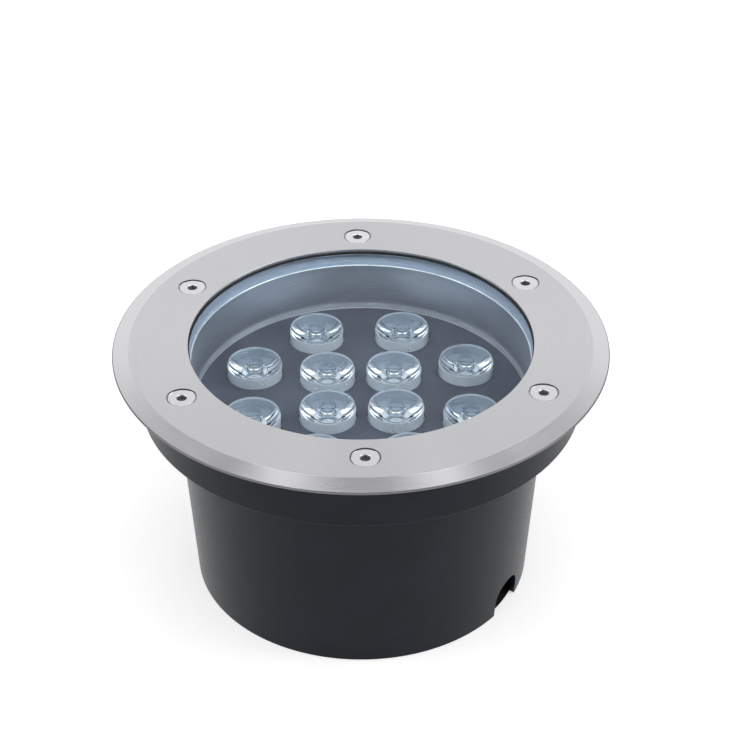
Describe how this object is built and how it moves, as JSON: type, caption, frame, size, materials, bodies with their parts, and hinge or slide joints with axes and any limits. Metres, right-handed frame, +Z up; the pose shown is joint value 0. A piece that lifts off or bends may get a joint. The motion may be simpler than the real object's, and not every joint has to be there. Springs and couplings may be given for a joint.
{
  "type": "recessed ground light",
  "caption": "Round in-ground LED uplight: stainless trim ring with flush screws, clear glass over collimator lenses, sealed lamp in a black buried sleeve.",
  "frame": {"origin": "centre of the sleeve's open bottom rim, on the surface that it stands on", "axes": "+Z up along the beam, +X out over the cable gland and the first trim screw, 3 degrees from the middle of the cable notch"},
  "size_m": [0.18, 0.18, 0.099],
  "materials": {
    "sleeve_plastic": "moulded, fine grain",
    "cast_body": "black powder coat on die-cast aluminium",
    "satin_bezel": "satin",
    "slate_plate": "dark slate paint",
    "board_mask": "white solder mask on aluminium core",
    "plated_screw": "zinc plated",
    "pad_grey": "matt silicone",
    "mill_aluminium": "mill finish",
    "emitter_phosphor": "pale phosphor under clear silicone",
    "driver_plastic": "moulded",
    "circuit_green": "green solder mask",
    "component_black": "moulded",
    "lead_red": "insulation",
    "lead_black": "insulation",
    "gland_nylon": "moulded nylon",
    "black_rubber": "matt",
    "brushed_stainless": "circular brushed",
    "clear_glass": "polished, tempered",
    "pale_silicone": "translucent",
    "lens_clear": "polished acrylic",
    "holder_clear": "clear polycarbonate",
    "stainless_screw": "machined"
  },
  "bodies": {
    "sleeve": {"sleeve": "sleeve_plastic"},
    "lamp": {"lamp_body": "cast_body", "inner_bezel": "satin_bezel", "face_plate": "slate_plate", "led_board": "board_mask", "board_screws": "plated_screw", "thermal_pad": "pad_grey", "heat_spreader": "mill_aluminium", "spreader_screws": "plated_screw", "led_emitters": "emitter_phosphor", "driver_case": "driver_plastic", "driver_board": "circuit_green", "driver_components": "component_black", "driver_lid": "driver_plastic", "driver_screws": "plated_screw", "lead_positive": "lead_red", "lead_negative": "lead_black", "gland_body": "gland_nylon", "gland_washer": "black_rubber", "gland_seal": "black_rubber", "lower_gasket": "pale_silicone", "lens_01": "lens_clear", "lens_02": "lens_clear", "lens_03": "lens_clear", "lens_04": "lens_clear", "lens_05": "lens_clear", "lens_06": "lens_clear", "lens_07": "lens_clear", "lens_08": "lens_clear", "lens_09": "lens_clear", "lens_10": "lens_clear", "lens_11": "lens_clear", "lens_12": "lens_clear", "lens_holder_01": "holder_clear", "lens_holder_02": "holder_clear", "lens_holder_03": "holder_clear", "lens_holder_04": "holder_clear", "lens_holder_05": "holder_clear", "lens_holder_06": "holder_clear", "lens_holder_07": "holder_clear", "lens_holder_08": "holder_clear", "lens_holder_09": "holder_clear", "lens_holder_10": "holder_clear", "lens_holder_11": "holder_clear", "lens_holder_12": "holder_clear"},
    "cover": {"trim_ring": "brushed_stainless", "front_glass": "clear_glass", "upper_gasket": "black_rubber"},
    "gland_nut": {"gland_nut": "gland_nylon"},
    "screw_1": {"trim_screw_1": "stainless_screw"},
    "screw_2": {"trim_screw_2": "stainless_screw"},
    "screw_3": {"trim_screw_3": "stainless_screw"},
    "screw_4": {"trim_screw_4": "stainless_screw"},
    "screw_5": {"trim_screw_5": "stainless_screw"},
    "screw_6": {"trim_screw_6": "stainless_screw"}
  },
  "joints": [
    {"name": "lamp_lift", "type": "slide", "parent": "sleeve", "child": "lamp", "axis": [0, 0, 1], "range_m": [0, 0.1]},
    {"name": "cover_lift", "type": "slide", "parent": "lamp", "child": "cover", "axis": [0, 0, 1], "range_m": [0, 0.04]},
    {"name": "gland_nut_turn", "type": "hinge", "parent": "lamp", "child": "gland_nut", "pos_m": [0.034, 0, 0.025], "axis": [0, 0, 1], "continuous": true},
    {"name": "screw_1_turn", "type": "hinge", "parent": "cover", "child": "screw_1", "pos_m": [0.07271, 0, 0.09], "axis": [0, 0, 1], "continuous": true},
    {"name": "screw_2_turn", "type": "hinge", "parent": "cover", "child": "screw_2", "pos_m": [0.03635, 0.06297, 0.09], "axis": [0, 0, 1], "continuous": true},
    {"name": "screw_3_turn", "type": "hinge", "parent": "cover", "child": "screw_3", "pos_m": [-0.03635, 0.06297, 0.09], "axis": [0, 0, 1], "continuous": true},
    {"name": "screw_4_turn", "type": "hinge", "parent": "cover", "child": "screw_4", "pos_m": [-0.07271, 0, 0.09], "axis": [0, 0, 1], "continuous": true},
    {"name": "screw_5_turn", "type": "hinge", "parent": "cover", "child": "screw_5", "pos_m": [-0.03635, -0.06297, 0.09], "axis": [0, 0, 1], "continuous": true},
    {"name": "screw_6_turn", "type": "hinge", "parent": "cover", "child": "screw_6", "pos_m": [0.03635, -0.06297, 0.09], "axis": [0, 0, 1], "continuous": true}
  ]
}
